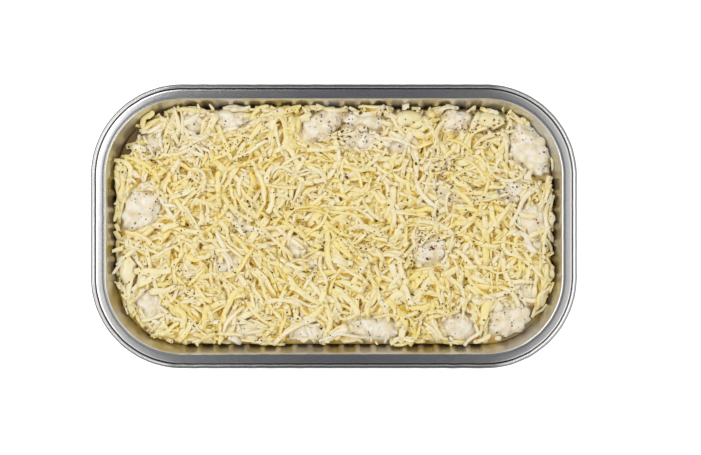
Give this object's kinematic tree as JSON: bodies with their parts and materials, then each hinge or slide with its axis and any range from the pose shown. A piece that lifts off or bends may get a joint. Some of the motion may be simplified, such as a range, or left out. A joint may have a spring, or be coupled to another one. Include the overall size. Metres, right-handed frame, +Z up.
{
  "type": "foil tray meal",
  "caption": "Oblong pressed foil tray with rounded corners and fluted walls, filled with creamed chicken and macaroni under a layer of grated cheese.",
  "frame": {"origin": "middle of the tray's footprint, on the surface that it stands on", "axes": "+X along the tray's length, +Y across it, +Z up"},
  "size_m": [0.23, 0.1346, 0.0407],
  "materials": {
    "foil": "satin pressed foil",
    "cream_sauce": "moist cream sauce",
    "grated_cheese": "soft, slightly oily grated cheese",
    "creamed_chicken": "chicken coated in moist cream sauce",
    "macaroni": "moist cooked pasta"
  },
  "bodies": {
    "root": {"foil_tray": "foil", "cream_sauce": "cream_sauce", "grated_cheese": "grated_cheese", "chicken_piece_01": "creamed_chicken", "chicken_piece_02": "creamed_chicken", "chicken_piece_03": "creamed_chicken", "chicken_piece_04": "creamed_chicken", "chicken_piece_05": "creamed_chicken", "chicken_piece_06": "creamed_chicken", "chicken_piece_07": "creamed_chicken", "chicken_piece_08": "creamed_chicken", "chicken_piece_09": "creamed_chicken", "chicken_piece_10": "creamed_chicken", "chicken_piece_11": "creamed_chicken", "chicken_piece_12": "creamed_chicken", "chicken_piece_13": "creamed_chicken", "chicken_piece_14": "creamed_chicken", "chicken_piece_15": "creamed_chicken", "chicken_piece_16": "creamed_chicken", "chicken_piece_17": "creamed_chicken", "chicken_piece_18": "creamed_chicken", "chicken_piece_19": "creamed_chicken", "chicken_piece_20": "creamed_chicken", "chicken_piece_21": "creamed_chicken", "chicken_piece_22": "creamed_chicken", "chicken_piece_23": "creamed_chicken", "chicken_piece_24": "creamed_chicken", "chicken_piece_25": "creamed_chicken", "chicken_piece_26": "creamed_chicken", "chicken_piece_27": "creamed_chicken", "chicken_piece_28": "creamed_chicken", "macaroni_1": "macaroni", "macaroni_2": "macaroni", "macaroni_3": "macaroni"}
  },
  "joints": []
}
